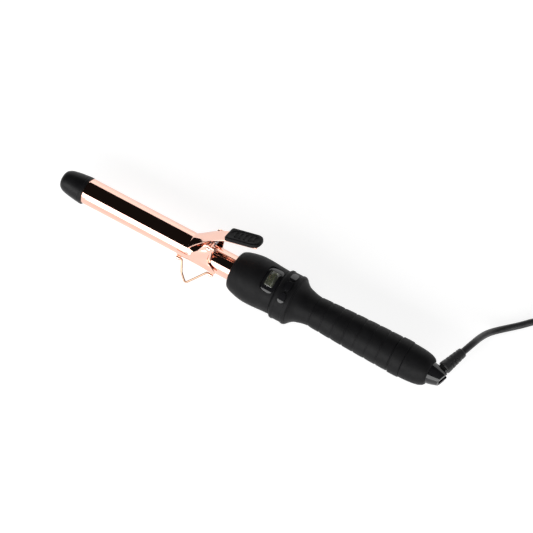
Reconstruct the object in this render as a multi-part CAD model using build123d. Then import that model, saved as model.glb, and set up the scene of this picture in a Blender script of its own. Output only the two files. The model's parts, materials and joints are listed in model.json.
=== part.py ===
"""Automatic hair curler: a clip curling iron whose heated barrel is turned by a motor.

Millimetres, +Z up. The iron lies on a table at Z = 0: its control collar and its wire stand
touch the table. The tool axis runs along X, with the cool tip at -X and the lead at +X.
The shapes are made in the tool's own frame (tip end at X = 0, axis at Y = Z = 0), and place()
moves them so that the origin is at the middle of the underside of the iron without its lead.
"""
import os
from math import atan2, ceil, cos, degrees, pi, radians, sin, sqrt, tan

from build123d import *

# ---- heated barrel -------------------------------------------------------------------------
BARREL_R = 12.7
BARREL_WALL = 0.9
BARREL_FRONT = 20.0
BARREL_REAR = 207.0
CAP_LENGTH = 27.5
CAP_RIM_R = 14.2
CAP_END_R = 6.0
BARREL_ROLL = -25.0          # the barrel, clamp and stand are turned about the axis at rest

# ---- handle --------------------------------------------------------------------------------
HOUSING_FRONT = 194.5
SEAM_X = 244.0               # housing meets the control collar
COLLAR_REAR = 262.0
COLLAR_R = 25.2
SCREW_Y = 18.4               # the two core screws, each side of the axis
SHELL_INNER_R = 21.0
CORE_OUTER_R = 13.0
CORE_INNER_R = 11.2
CORE_REAR = 393.2
BAND_START = 283.0
BAND_PITCH = 12.4
BAND_COUNT = 8
GRIP_REAR = BAND_START + BAND_COUNT * BAND_PITCH
TAIL_X = 407.6
SOCKET_X = 394.6             # floor of the rear cap's socket
SOCKET_R = 11.5

# ---- clamp, its hinge and the wire stand ------------------------------------------------------
SPOON_INNER_R = 13.0
SPOON_THICK = 1.0
SPOON_FRONT = 29.0
SADDLE_X = 146.0
SADDLE_REAR = 162.0
SPOON_HALF_ANGLE = 87.0
HINGE_X = 168.0
HINGE_Z = 20.0
HINGE_PIN_R = 1.5
EAR_INNER_Y = 14.3
EAR_THICK = 1.0
LEVER_BEND_X = 178.0
LEVER_RISE = 31.0
PAD_RISE = 15.0
PAD_LENGTH = 37.0
PAD_WIDTH = 18.5
PAD_THICK = 5.0
STAND_WIRE_R = 1.0
STAND_HINGE_R = 15.6
STAND_HINGE_ANGLE = 145.0    # from the lever's side, round the barrel
STAND_LEAN = 40.0            # the deployed stand leans this far from straight down

# ---- drive ---------------------------------------------------------------------------------
GEAR_MODULE = 0.6
GEAR_TEETH = 36
PINION_TEETH = 14
PINION_DROP = GEAR_MODULE * (GEAR_TEETH + PINION_TEETH) / 2
GEAR_X = 217.0
GEAR_FACE = 6.0
MOTOR_SHAFT_R = 1.5
RUNNING_FIT = 0.05

# ---- display and buttons -------------------------------------------------------------------
WINDOW_X = 235.6
WINDOW_LENGTH = 15.6
WINDOW_WIDTH = 28.0
BUTTON_X = 253.4
BUTTON_LENGTH = 10.8
BUTTON_WIDTH = 6.8
BUTTON_CAP_R = 23.4          # underside of a button's oval cap
BUTTON_STEM_LENGTH = 6.0
BUTTON_STEM_WIDTH = 4.0
BUTTON_ANGLES = {"rotate_left_button": -30.0, "power_button": 0.0, "rotate_right_button": 30.0}
BUTTON_TOP_R = 25.5
BUTTON_FOOT_R = 20.6
BUTTON_TRAVEL = 0.8

# ---- lead ----------------------------------------------------------------------------------
CORD_R = 3.4
SWIVEL_PIN_X = 413.3
SWIVEL_PIN_Y = -0.2
SWIVEL_PIN_R = 1.2
SWIVEL_END = 423.1
SWIVEL_STEM_R = 5.5
SWIVEL_FRONT = 383.7
BOOT_ANGLE = 72.5            # the boot's direction, from the tool axis
BOOT_START = 11.0
BOOT_LENGTH = 35.7
BOOT_START_R = 6.5
BOOT_END_R = 4.9
BOOT_EYE_R = 4.4
FLOOR = -COLLAR_R
CORD_FLOOR = FLOOR + CORD_R
COIL_CENTRE = (496.2, 167.1)
COIL_TURN_R = 40.0
COIL_TURNS_WIDE = 3
COIL_LAYERS = 2
COIL_ENTRY_ANGLE = -75.0
COIL_EXIT_ANGLE = 15.0
COIL_TOP_START = 130.0       # the last turn lies on top from here to the exit
COIL_TIE_ANGLE = 320.0
TIE_WIDTH = 5.6
PLUG_AXIS = 2.8              # height of the plug, which lies on the coil
PLUG_LENGTH = 25.0
PLUG_WIDTH = 26.0
PLUG_HEIGHT = 15.0
BLADE_SPACING = 12.7


# ---- helpers -------------------------------------------------------------------------------
def turned(*outline):
    """Solid of revolution about X from a closed outline of (x, radius) points."""
    return revolve(make_face(Polyline(*outline, close=True)), axis=Axis.X)


def turned_edges(*edges):
    """Solid of revolution about X from a closed loop of edges in the XY plane."""
    return revolve(make_face(edges), axis=Axis.X)


def rod(x0, x1, radius, y=0.0, z=0.0):
    """Cylinder along X."""
    disc = Plane(origin=(x0, y, z), x_dir=(0, 1, 0), z_dir=(1, 0, 0)) * Circle(radius)
    return extrude(disc, amount=x1 - x0)


def pipe(x0, x1, inner, outer):
    """Plain tube along X on the tool axis."""
    return turned((x0, inner), (x1, inner), (x1, outer), (x0, outer))


def block(x0, x1, y0, y1, z0, z1):
    """Box between two corners."""
    size = (x1 - x0, y1 - y0, z1 - z0)
    return Pos((x0 + x1) / 2, (y0 + y1) / 2, (z0 + z1) / 2) * Box(*size)


def cross_rod(x, z, y0, y1, radius):
    """Cylinder along Y."""
    disc = Plane(origin=(x, y0, z), x_dir=(1, 0, 0), z_dir=(0, 1, 0)) * Circle(radius)
    return extrude(disc, amount=y1 - y0)


def side_plate(points, y0, y1):
    """Flat plate between y0 and y1 with an outline given in X and Z."""
    face = make_face(Polyline(*[(x, y0, z) for x, z in points], close=True))
    return extrude(face, amount=y1 - y0, dir=(0, 1, 0))


def sector(x0, x1, inner, outer, from_angle, to_angle):
    """Part of a tube, between two angles measured from +Z towards -Y."""
    ring = pipe(x0, x1, inner, outer)
    reach = 2 * outer
    steps = max(2, ceil((to_angle - from_angle) / 45))
    angles = [from_angle + (to_angle - from_angle) * i / steps for i in range(steps + 1)]
    rim = [(x0, -reach * sin(radians(a)), reach * cos(radians(a))) for a in angles]
    wedge = extrude(make_face(Polyline((x0, 0, 0), *rim, close=True)), amount=x1 - x0, dir=(1, 0, 0))
    return ring & wedge


def radial(shape, angle):
    """Turn a shape made at +Z about the tool axis; positive angles go towards -Y."""
    return Rot(X=angle) * shape


def rolled(shape):
    """Turn a shape of the barrel group to its rest position."""
    return Rot(X=BARREL_ROLL) * shape


def gear(teeth, x0, x1, bore, phase):
    """Spur gear along X with involute flanks; a tooth points to `phase` degrees from +Y."""
    pitch_r = GEAR_MODULE * teeth / 2
    base_r = pitch_r * cos(radians(20))
    tip_r = pitch_r + 0.92 * GEAR_MODULE
    root_r = pitch_r - 1.3 * GEAR_MODULE
    half_tooth = pi / (2 * teeth) - 0.05 * GEAR_MODULE / pitch_r
    flank_turn = tan(radians(20)) - radians(20)
    flank = []
    for i in range(4):
        r = max(base_r, root_r) + (tip_r - max(base_r, root_r)) * i / 3
        roll = sqrt(max((r / base_r) ** 2 - 1, 0))
        flank.append((r, half_tooth + flank_turn - (roll - atan2(roll, 1))))
    root_angle = flank[0][1] + 0.02
    side = [(root_r, root_angle)] + flank
    points = []
    for tooth in range(teeth):
        middle = radians(phase) + 2 * pi * tooth / teeth
        points += [(r, middle - a) for r, a in side]
        points += [(r, middle + a) for r, a in reversed(side)]
    outline = [(x0, r * cos(a), r * sin(a)) for r, a in points]
    wheel = extrude(make_face(Polyline(*outline, close=True)), amount=x1 - x0, dir=(1, 0, 0))
    return wheel - rod(x0 - 1, x1 + 1, bore)


# ---- barrel group --------------------------------------------------------------------------
def barrel_tube():
    return pipe(BARREL_FRONT, BARREL_REAR, BARREL_R - BARREL_WALL, BARREL_R)


def cool_tip():
    nose = Spline((0, CAP_END_R), (2.0, 9.2), (6.0, 11.3), (14.0, 12.9), (24.0, CAP_RIM_R),
                  tangents=((0.15, 1), (1, 0.02)))
    rim = Polyline((24.0, CAP_RIM_R), (CAP_LENGTH, CAP_RIM_R), (CAP_LENGTH, BARREL_R),
                   (BARREL_FRONT, BARREL_R), (BARREL_FRONT, 10.6), (8.0, 8.4), (8.0, 0), (0, 0),
                   (0, CAP_END_R))
    return turned_edges(*nose.edges(), *rim.edges())


def tip_insulator():
    inner = BARREL_R - BARREL_WALL
    disc = rod(BARREL_FRONT, 24.0, inner)
    return disc - rod(19, 25, 2.0)


def heater_block(side):
    """One half-round aluminium block; side is 1 for the upper one and -1 for the lower one."""
    bar = rod(26.0, 150.0, BARREL_R - BARREL_WALL)
    keep = block(25, 151, -15, 15, 1.5, 15) if side > 0 else block(25, 151, -15, 15, -15, -1.5)
    return bar & keep


def ceramic_heater():
    return block(34.0, 140.0, -7.0, 7.0, -1.5, 1.5)


def thermistor():
    bead = rod(150.0, 156.0, 1.6, 0, 6.0)
    return bead + rod(156.0, 182.0, 0.7, 0, 6.0)


def barrel_hub():
    body = turned((190, 3.0), (190, BARREL_R - BARREL_WALL), (BARREL_REAR, BARREL_R - BARREL_WALL),
                  (BARREL_REAR, 13.8), (209, 13.8), (209, 9.0), (GEAR_X, 9.0), (GEAR_X, 7.0),
                  (225, 7.0), (225, 6.0), (241, 6.0), (241, 3.0))
    return body


def barrel_gear():
    return gear(GEAR_TEETH, GEAR_X, GEAR_X + GEAR_FACE, 7.0, -90.0)


def slip_rings():
    first = pipe(228.0, 231.0, 6.0, 7.0)
    second = pipe(233.0, 236.0, 6.0, 7.0)
    return Compound([first, second])


def stand_hinge():
    """Centre of the stand's hinge line in the unrolled barrel frame, as (y, z)."""
    angle = radians(STAND_HINGE_ANGLE)
    return -STAND_HINGE_R * sin(angle), STAND_HINGE_R * cos(angle)


def pivot_bracket():
    """Band under the barrel with two ears for the clamp's hinge pin and two stand knuckles."""
    band = sector(137.0, 178.0, BARREL_R, BARREL_R + 0.8, 93.0, 267.0)
    ear = [(163.5, -1.0), (172.5, -1.0), (172.0, 20.0), (170.5, 23.0), (165.5, 23.0), (164.0, 20.0)]
    plates = [side_plate(ear, 12.95, 13.95), side_plate(ear, -13.95, -12.95)]
    y, z = stand_hinge()
    knuckles = [rod(137.0, 141.0, 2.2, y, z), rod(173.5, 177.5, 2.2, y, z)]
    bracket = band + plates[0] + plates[1] + knuckles[0] + knuckles[1]
    bracket -= rod(130, 190, BARREL_R)
    bracket -= rod(130, 190, STAND_WIRE_R + RUNNING_FIT, y, z)
    bracket -= cross_rod(HINGE_X, HINGE_Z, -20, 20, HINGE_PIN_R)
    return rolled(bracket)


def hinge_pin():
    shaft = cross_rod(HINGE_X, HINGE_Z, -15.6, 15.6, HINGE_PIN_R)
    for low, high in ((15.6, 16.6), (-16.6, -15.6)):
        shaft += cross_rod(HINGE_X, HINGE_Z, low, high, 2.8)
    return rolled(shaft)


def clamp_spring():
    """Torsion spring round the hinge pin."""
    pitch = 1.5
    height = 9.0
    radius = 2.4
    path = Helix(pitch, height, radius)
    start = path @ 0
    wire = sweep(Plane(origin=start, z_dir=path % 0) * Circle(0.45), path=path)
    return rolled(Pos(HINGE_X, height / 2, HINGE_Z) * Rot(X=90) * wire)


# ---- clamp group ---------------------------------------------------------------------------
def lever_line():
    """Underside of the lever strip in X and Z: root, bend and end."""
    root = (SADDLE_X, SPOON_INNER_R + 0.2)
    bend = (LEVER_BEND_X, root[1] + (LEVER_BEND_X - SADDLE_X) * tan(radians(LEVER_RISE)))
    reach = PAD_LENGTH - 2.0
    end = (bend[0] + reach * cos(radians(PAD_RISE)), bend[1] + reach * sin(radians(PAD_RISE)))
    return root, bend, end


def clamp_spoon():
    shell = sector(SPOON_FRONT, SADDLE_X + 2, SPOON_INNER_R, SPOON_INNER_R + SPOON_THICK,
                   -SPOON_HALF_ANGLE, SPOON_HALF_ANGLE)
    outer = EAR_INNER_Y + EAR_THICK
    flare_end = SADDLE_X + 5.0
    flare = turned((SADDLE_X, SPOON_INNER_R), (flare_end, EAR_INNER_Y), (SADDLE_REAR, EAR_INNER_Y),
                   (SADDLE_REAR, outer), (flare_end, outer), (SADDLE_X, SPOON_INNER_R + SPOON_THICK))
    flare &= block(SADDLE_X, SADDLE_REAR, -20, 20, 0.6, 20)
    ear = [(152, 0.6), (158, -3.0), (176, -5.0), (181, -4.5), (181, -2.5), (173, 3.0), (169.5, 8.0),
           (170, 14.0), (174, 21.0), (174, 24.0), (163, 24.0), (158, 12.0), (152, 6.0)]
    ears = [side_plate(ear, EAR_INNER_Y, outer), side_plate(ear, -outer, -EAR_INNER_Y)]
    root, bend, end = lever_line()
    rise = SPOON_THICK / cos(radians(LEVER_RISE))
    strip = side_plate([root, bend, end, (end[0], end[1] + rise), (bend[0], bend[1] + rise),
                        (root[0], root[1] + rise)], -15, 15)
    plan = [(SADDLE_X, -13.0), (LEVER_BEND_X, -8.0), (end[0], -7.0), (end[0], 7.0),
            (LEVER_BEND_X, 8.0), (SADDLE_X, 13.0)]
    outline = make_face(Polyline(*[(x, y, 0) for x, y in plan], close=True))
    strip &= extrude(outline, amount=60, dir=(0, 0, 1))
    clamp = shell + flare + ears[0] + ears[1] + strip
    clamp -= rod(SPOON_FRONT - 1, HINGE_X, SPOON_INNER_R)
    clamp -= cross_rod(HINGE_X, HINGE_Z, -20, 20, HINGE_PIN_R + RUNNING_FIT)
    for rivet_x in rivet_places():
        clamp -= rivet_frame(rivet_x) * Cylinder(1.3, 12)
    return rolled(clamp)


def rivet_places():
    """Distances of the two pad rivets along the pad, from the lever's bend."""
    return 9.0, 27.0


def lever_frame(along, lift):
    """Frame beyond the lever's bend, X along the strip, lifted so far above its underside."""
    bend = lever_line()[1]
    slope = radians(PAD_RISE)
    origin = (bend[0] + along * cos(slope), 0, bend[1] + along * sin(slope) + lift)
    sideways = (-sin(slope), 0, cos(slope))
    return Location(Plane(origin=origin, x_dir=(cos(slope), 0, sin(slope)), z_dir=sideways))


def rivet_frame(along):
    """Frame on the lever's underside at a distance from its bend, with Z across the strip."""
    return lever_frame(along, 0.0)


def pad_frame():
    """Frame on the lever's top face at the front end of the pad."""
    return lever_frame(0.0, SPOON_THICK / cos(radians(LEVER_RISE)))


def thumb_pad():
    """Moulded pad on the lever's end, square at the front and round at the back."""
    start = 1.0
    half = PAD_WIDTH / 2
    square = Pos((start + PAD_LENGTH - half) / 2, 0) * Rectangle(PAD_LENGTH - half - start, PAD_WIDTH)
    plan = square + Pos(PAD_LENGTH - half, 0) * Circle(half)
    pad = extrude(plan, amount=PAD_THICK)
    pad = fillet(pad.faces().sort_by(Axis.Z)[-1].edges(), 1.2)
    for rib in range(5):
        groove = Pos(7.0 + 5.0 * rib, 0, PAD_THICK) * Box(1.4, 9.5 - 0.4 * rib, 1.0)
        pad -= groove
    pad = pad_frame() * pad
    for along in rivet_places():
        pad -= rivet_frame(along) * Pos(0, 0, 1.5) * Cylinder(1.3, 6)
    return rolled(pad)


def pad_rivets():
    rivets = []
    for along in rivet_places():
        shank = Pos(0, 0, 1.9) * Cylinder(1.3, 3.8)
        head = Pos(0, 0, -0.5) * Cylinder(2.4, 1.0)
        rivets.append(rivet_frame(along) * (shank + head))
    return rolled(Compound(rivets))


# ---- wire stand ----------------------------------------------------------------------------
def stand_length():
    """Length of the V from its hinge line that lets its tip touch the table."""
    angle = radians(STAND_HINGE_ANGLE + BARREL_ROLL)
    hinge_z = STAND_HINGE_R * cos(angle)
    return (hinge_z - FLOOR - STAND_WIRE_R) / cos(radians(STAND_LEAN))


def stand_wire():
    reach = stand_length()
    route = [(137.5, 0), (143.0, 0), (147.0, 0.58 * reach), (154.0, reach), (171.0, 0), (177.0, 0)]
    bends = [1.8, 6.0, 2.4, 1.8]
    path = FilletPolyline(*[(x, 0, -v) for x, v in route], radius=bends)
    start = Plane(origin=path @ 0, z_dir=path % 0) * Circle(STAND_WIRE_R)
    wire = sweep(start, path=path, transition=Transition.ROUND)
    angle = radians(STAND_HINGE_ANGLE + BARREL_ROLL)
    hinge = Pos(0, -STAND_HINGE_R * sin(angle), STAND_HINGE_R * cos(angle))
    return hinge * Rot(X=-STAND_LEAN) * wire


# ---- handle group --------------------------------------------------------------------------
def housing_outline():
    """Outer curve of the front housing, from its nose to the seam."""
    return Spline((HOUSING_FRONT, 16.0), (196.4, 19.2), (202.0, 21.6), (213.0, 23.9),
                  (224.0, 24.1), (236.0, 23.3), (SEAM_X, 22.95), tangents=((0.1, 1), (1, -0.03)))


def window_prism(margin):
    """Upright rounded prism through the display window."""
    plan = RectangleRounded(WINDOW_LENGTH - 2 * margin, WINDOW_WIDTH - 2 * margin, 6.5 - margin)
    return Pos(WINDOW_X, 0, 10) * extrude(plan, amount=20)


def front_housing():
    outer = housing_outline()
    inner = Polyline((SEAM_X, 22.95), (SEAM_X, SHELL_INNER_R), (222.0, SHELL_INNER_R), (214.0, 20.6),
                     (214.0, 12.0), (210.0, 12.0), (210.0, 19.6), (203.0, 18.0), (198.0, 15.6),
                     (198.0, BARREL_R + 0.6), (HOUSING_FRONT, BARREL_R + 0.6), (HOUSING_FRONT, 16.0))
    shell = turned_edges(*outer.edges(), *inner.edges())
    return shell - window_prism(0.0)


def lcd_window():
    lens = pipe(225.0, SEAM_X, SHELL_INNER_R + 0.6, 22.9)
    return lens & window_prism(0.05)


def lcd_module():
    frame = block(228.5, 242.7, -10.0, 10.0, 14.1, 16.0)
    glass = block(230.0, 241.2, -8.5, 8.5, 16.0, 17.6)
    return frame + glass


def control_pcb():
    board = block(227.0, 249.0, -14.0, 14.0, 12.5, 14.1)
    chip = block(232.0, 239.0, -5.0, 5.0, 11.2, 12.5)
    return board + chip


def button_prism(low, high, length, width, margin, angle):
    """Oval prism across the collar, at a button's angle."""
    plan = Rot(Z=90) * SlotOverall(length + 2 * margin, width + 2 * margin)
    return radial(Pos(BUTTON_X, 0, low) * extrude(plan, amount=high - low), angle)


def button(angle):
    """Oval push button on a narrower stem, whose outer face follows the collar."""
    cap = button_prism(BUTTON_CAP_R, 30.0, BUTTON_LENGTH, BUTTON_WIDTH, 0.0, angle)
    cap &= rod(240, 270, BUTTON_TOP_R)
    stem = (BUTTON_STEM_LENGTH, BUTTON_STEM_WIDTH)
    return cap + button_prism(BUTTON_FOOT_R, BUTTON_CAP_R, *stem, 0.0, angle)


def button_pocket(angle):
    """Clearance in the collar for a button and its travel."""
    floor = BUTTON_CAP_R - BUTTON_TRAVEL - 0.2
    pocket = button_prism(floor, 30.0, BUTTON_LENGTH, BUTTON_WIDTH, 0.25, angle)
    return pocket + button_prism(19.0, floor, BUTTON_STEM_LENGTH, BUTTON_STEM_WIDTH, 0.25, angle)


def control_collar():
    collar = turned((SEAM_X + 0.2, SHELL_INNER_R), (SEAM_X + 0.2, 23.0), (245.6, 24.6),
                    (246.8, COLLAR_R), (248.6, COLLAR_R), (249.2, 24.7), (257.6, 24.7),
                    (258.2, COLLAR_R), (260.0, COLLAR_R), (261.4, 24.6), (COLLAR_REAR, 24.2),
                    (COLLAR_REAR, SHELL_INNER_R))
    for side in (-1, 1):
        lug = Pos(0, side * (SCREW_Y + 0.75), 0) * block(250.0, 259.3, -3.35, 3.35, -3.2, 3.2)
        collar += lug & rod(249, 260, 22.0)
        collar -= rod(249, 260, 1.2, side * SCREW_Y, 0)
    for angle in BUTTON_ANGLES.values():
        collar -= button_pocket(angle)
    return collar


def button_switches():
    """Curved board with one small switch under each button."""
    board = sector(250.0, 257.5, 16.0, 16.9, -44.0, 44.0)
    for angle in BUTTON_ANGLES.values():
        board += radial(block(250.6, 256.2, -2.8, 2.8, 16.6, 18.6), angle)
        board += radial(block(252.4, 254.4, -1.0, 1.0, 18.6, 19.6), angle)
    return board


def handle_core():
    """Inner tube of the handle with a flange that closes the collar."""
    core = turned((259.5, CORE_INNER_R), (CORE_REAR, CORE_INNER_R), (CORE_REAR, CORE_OUTER_R),
                  (COLLAR_REAR, CORE_OUTER_R), (COLLAR_REAR, SHELL_INNER_R), (259.5, SHELL_INNER_R))
    for side in (-1, 1):
        core -= rod(258, 263, 1.3, side * SCREW_Y, 0)
    return core


def core_screws():
    screws = []
    for side in (-1, 1):
        shank = rod(252.0, COLLAR_REAR, 1.2, side * SCREW_Y, 0)
        head = rod(COLLAR_REAR, COLLAR_REAR + 1.8, 2.3, side * SCREW_Y, 0)
        screws.append(shank + head)
    return Compound(screws)


def band_radius(x):
    """Mean outer radius of the grip behind its neck."""
    share = (x - BAND_START) / (GRIP_REAR - BAND_START)
    return 15.1 + 2.7 * sin(0.5 * pi * min(1.0, 1.08 * share))


def grip_sleeve():
    """Soft sleeve: a waisted neck, then shallow rings, the last one raised."""
    front = COLLAR_REAR + 0.2
    neck = Spline((front, 24.1), (264.6, 21.6), (268.5, 18.6), (274.0, 16.7),
                  (BAND_START, band_radius(BAND_START)), tangents=((0.15, -1), (1, -0.02)))
    rings = [(BAND_START, band_radius(BAND_START))]
    for band in range(BAND_COUNT):
        start = BAND_START + band * BAND_PITCH
        end = start + BAND_PITCH
        lift = 0.75 if band == BAND_COUNT - 1 else 0.2
        rings.append((start + 0.5, band_radius(start) - 0.35))
        rings.append((start + 1.2, band_radius(start) + lift))
        rings.append((start + 0.55 * BAND_PITCH, band_radius(start + 0.5 * BAND_PITCH) + lift + 0.1))
        rings.append((end - 0.5, band_radius(end) + lift - 0.15))
    tail = [(GRIP_REAR, band_radius(GRIP_REAR) - 0.2), (GRIP_REAR, CORE_OUTER_R),
            (front, CORE_OUTER_R), (front, 24.1)]
    edge = Polyline(*rings, *tail)
    sleeve = turned_edges(*neck.edges(), *edge.edges())
    for side in (-1, 1):
        sleeve -= rod(front - 1, front + 2.0, 2.6, side * SCREW_Y, 0)
    return sleeve


def rear_cap():
    """Round end of the handle with the swivel's socket."""
    front = GRIP_REAR + 0.15
    outer = Spline((front, 17.75), (388.0, 17.65), (395.0, 17.1), (401.5, 16.0), (405.8, 14.3),
                   (TAIL_X, 12.4), tangents=((1, 0), (0.25, -1)))
    web = SOCKET_X - 4.0
    outline = [(TAIL_X, 12.4), (TAIL_X - 0.5, SOCKET_R), (SOCKET_X, SOCKET_R),
               (SOCKET_X, SWIVEL_STEM_R + 0.06), (web, SWIVEL_STEM_R + 0.06),
               (web, CORE_INNER_R - 0.1), (CORE_REAR + 0.1, CORE_INNER_R - 0.1),
               (CORE_REAR + 0.1, CORE_OUTER_R), (front, CORE_OUTER_R), (front, 17.75)]
    return turned_edges(*outer.edges(), *Polyline(*outline).edges())


def front_bearing():
    return pipe(209.4, 215.6, 9.0 + RUNNING_FIT, 12.0)


def gear_motor():
    """Small geared motor with a flat-sided can, below the tool axis."""
    can = Pos(237.5, 0, -PINION_DROP) * Box(23.0, 12.0, 10.0)
    can = fillet(can.edges().filter_by(Axis.X), 3.0)
    boss = rod(224.4, 226.2, 2.6, 0, -PINION_DROP)
    motor = can + boss
    return motor - rod(223, 236, MOTOR_SHAFT_R + RUNNING_FIT, 0, -PINION_DROP)


def motor_pinion():
    phase = 90.0 + 180.0 / PINION_TEETH
    wheel = gear(PINION_TEETH, GEAR_X - 0.5, GEAR_X + GEAR_FACE + 0.5, MOTOR_SHAFT_R, phase)
    return Pos(0, 0, -PINION_DROP) * wheel


def motor_shaft():
    return rod(GEAR_X - 1.0, 235.5, MOTOR_SHAFT_R, 0, -PINION_DROP)


def motor_bracket():
    plate = rod(224.4, 226.0, SHELL_INNER_R)
    plate -= rod(223, 227, 8.2)
    plate -= rod(223, 227, 2.6, 0, -PINION_DROP)
    return plate - block(223, 227, -16, 16, 12.0, 22)


def brush_holder():
    """Block beside the slip rings with two sprung brushes."""
    holder = block(227.5, 236.5, 9.0, 14.0, -5.0, 5.0)
    for x in (229.5, 234.5):
        holder += block(x - 1.0, x + 1.0, 7.3, 9.0, -2.0, 2.0)
    return holder + block(226.0, 227.5, 9.0, 16.0, -5.0, 5.0)


def power_board():
    board = block(296.0, 366.0, -10.0, 10.0, -0.8, 0.8)
    parts = [block(302.0, 318.0, -7.0, 5.0, 0.8, 7.0), block(324.0, 334.0, -5.0, 5.0, 0.8, 6.0),
             rod(338.0, 352.0, 3.2, 3.0, 3.6), block(355.0, 362.0, -7.0, 7.0, -5.0, -0.8)]
    for item in parts:
        board += item
    return board


def power_leads():
    rear = SWIVEL_FRONT - 8.5
    leads = [rod(366.0, rear, 1.0, side * 3.0, 0.0) for side in (-1, 1)]
    return Compound(leads)


def swivel_contacts():
    return rod(SWIVEL_FRONT - 8.5, SWIVEL_FRONT - 1.0, CORE_INNER_R)


# ---- swivel group --------------------------------------------------------------------------
def swivel_pin_place():
    return Pos(SWIVEL_PIN_X, SWIVEL_PIN_Y, 0)


def swivel_cone():
    """Cone that turns in the rear cap, cut obliquely and slotted for the lead's boot."""
    seat = SOCKET_X + 0.3
    cone = turned((SWIVEL_FRONT, 0), (SWIVEL_FRONT, SWIVEL_STEM_R), (seat, SWIVEL_STEM_R),
                  (seat, 10.2), (seat + 1.8, 11.0), (TAIL_X - 0.2, 11.0), (SWIVEL_END - 0.5, 6.7),
                  (SWIVEL_END, 6.2), (SWIVEL_END, 0))
    cone -= Pos(SWIVEL_END - 1.7, 0, 0) * Rot(Z=-18.8) * Pos(10, 0, 0) * Box(20, 40, 40)
    cone -= block(TAIL_X + 0.1, SWIVEL_END + 6, SWIVEL_PIN_Y - 5.6, 14.0, -3.8, 3.8)
    return cone - swivel_pin_place() * Cylinder(SWIVEL_PIN_R, 30)


def swivel_clip():
    """Ring that keeps the swivel's stem in the rear cap."""
    return pipe(SOCKET_X - 6.8, SOCKET_X - 4.5, SWIVEL_STEM_R, 8.2)


def swivel_pin():
    return swivel_pin_place() * Cylinder(SWIVEL_PIN_R, 16.4)


# ---- lead group ----------------------------------------------------------------------------
def boot_place():
    """Frame of the boot: origin on the pin, X along the boot."""
    return swivel_pin_place() * Rot(Z=BOOT_ANGLE)


def strain_relief():
    """Ribbed tapering boot with an eye for the swivel's pin."""
    eye = Cylinder(BOOT_EYE_R, 7.0) + Pos(BOOT_START / 2, 0, 0) * Box(BOOT_START + 0.8, 7.6, 7.0)
    boot = eye + turned((BOOT_START, 0), (BOOT_START, BOOT_START_R), (15.0, BOOT_START_R),
                        (BOOT_LENGTH, BOOT_END_R), (BOOT_LENGTH, 0))
    for rib in range(4):
        x = 18.2 + 4.1 * rib
        for side in (-1, 1):
            notch = Pos(x, side * 5.3, 0) * Box(1.6, 8.0, 20)
            boot -= notch - rod(x - 2, x + 2, 3.7)
    boot -= Cylinder(SWIVEL_PIN_R + RUNNING_FIT, 30)
    return boot_place() * boot


def coil_point(angle, radius):
    """Point of the coil at an angle about its centre, as (x, y)."""
    return (COIL_CENTRE[0] + radius * cos(radians(angle)), COIL_CENTRE[1] + radius * sin(radians(angle)))


def outer_turn_radius():
    return COIL_TURN_R + CORD_R * (COIL_TURNS_WIDE - 1)


def cord_route():
    """Free lead from the boot to the coil: down to the table and away from the iron."""
    tip = boot_place() * Pos(BOOT_LENGTH, 0, 0)
    start = tip.position
    last = coil_point(COIL_ENTRY_ANGLE, outer_turn_radius())
    straight = (boot_place() * Pos(BOOT_LENGTH + 13.0, 0, 0)).position
    return [(start.X, start.Y, start.Z), (straight.X, straight.Y, 0), (430.0, 59.0, -7.5),
            (433.4, 71.5, -16.5), (441.6, 83.0, CORD_FLOOR), (456.0, 96.5, CORD_FLOOR),
            (467.0, 109.0, CORD_FLOOR), (492.8, 117.8, CORD_FLOOR), (last[0], last[1], CORD_FLOOR)]


def tail_route():
    """Last stretch of the lead, from the top of the coil down to the plug."""
    top = CORD_FLOOR + 2 * CORD_R * COIL_LAYERS
    first = coil_point(COIL_EXIT_ANGLE, outer_turn_radius())
    return [(first[0], first[1], top), (536.3, 198.3, top + 1.0), (521.4, 210.8, -2.6),
            (502.0, 212.5, PLUG_AXIS), (485.1, 202.8, PLUG_AXIS)]


def bend_radii(route):
    """Radius of the arc at each inner point: 0.45 of its shorter run over tan of half the turn."""
    radii = []
    for before, here, after in zip(route, route[1:], route[2:]):
        first = Vector(*here) - Vector(*before)
        second = Vector(*after) - Vector(*here)
        turn = radians(first.get_angle(second))
        radii.append(0.45 * min(first.length, second.length) / tan(turn / 2))
    return radii


def cord_along(route, name):
    radii = bend_radii(route)
    path = FilletPolyline(*route, radius=radii)
    section = Plane(origin=path @ 0, z_dir=path % 0) * Circle(CORD_R)
    tube = sweep(section, path=path)
    runs = [round((Vector(*b) - Vector(*a)).length, 1) for a, b in zip(route, route[1:])]
    print(name, "runs", runs, "radii", [round(r, 1) for r in radii])
    share = tube.volume / (pi * CORD_R**2 * path.length)
    print(name, "length", round(path.length, 1), "volume share", round(share, 4))
    return tube


def cord_coil():
    """Outer shape of the tied coil of spare lead, with a shallow seat for the tie."""
    half_width = COIL_TURNS_WIDE * CORD_R
    height = 2 * CORD_R * COIL_LAYERS
    section = Plane.XZ * Pos(COIL_TURN_R, height / 2) * RectangleRounded(2 * half_width, height, CORD_R)
    ring = revolve(section, axis=Axis.Z)
    ring -= Rot(Z=COIL_TIE_ANGLE) * Pos(COIL_TURN_R, 0, 0.4) * Box(2 * half_width, TIE_WIDTH + 0.4, 0.8)
    crown = Plane.XZ * Pos(outer_turn_radius(), height + CORD_R) * Circle(CORD_R)
    crown += Plane.XZ * Pos(outer_turn_radius(), height + 1.2) * Rectangle(2 * CORD_R, 3.6)
    last_turn = COIL_EXIT_ANGLE + 360 - COIL_TOP_START
    ring += Rot(Z=COIL_TOP_START) * revolve(crown, axis=Axis.Z, revolution_arc=last_turn)
    return Pos(COIL_CENTRE[0], COIL_CENTRE[1], FLOOR) * ring


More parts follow.
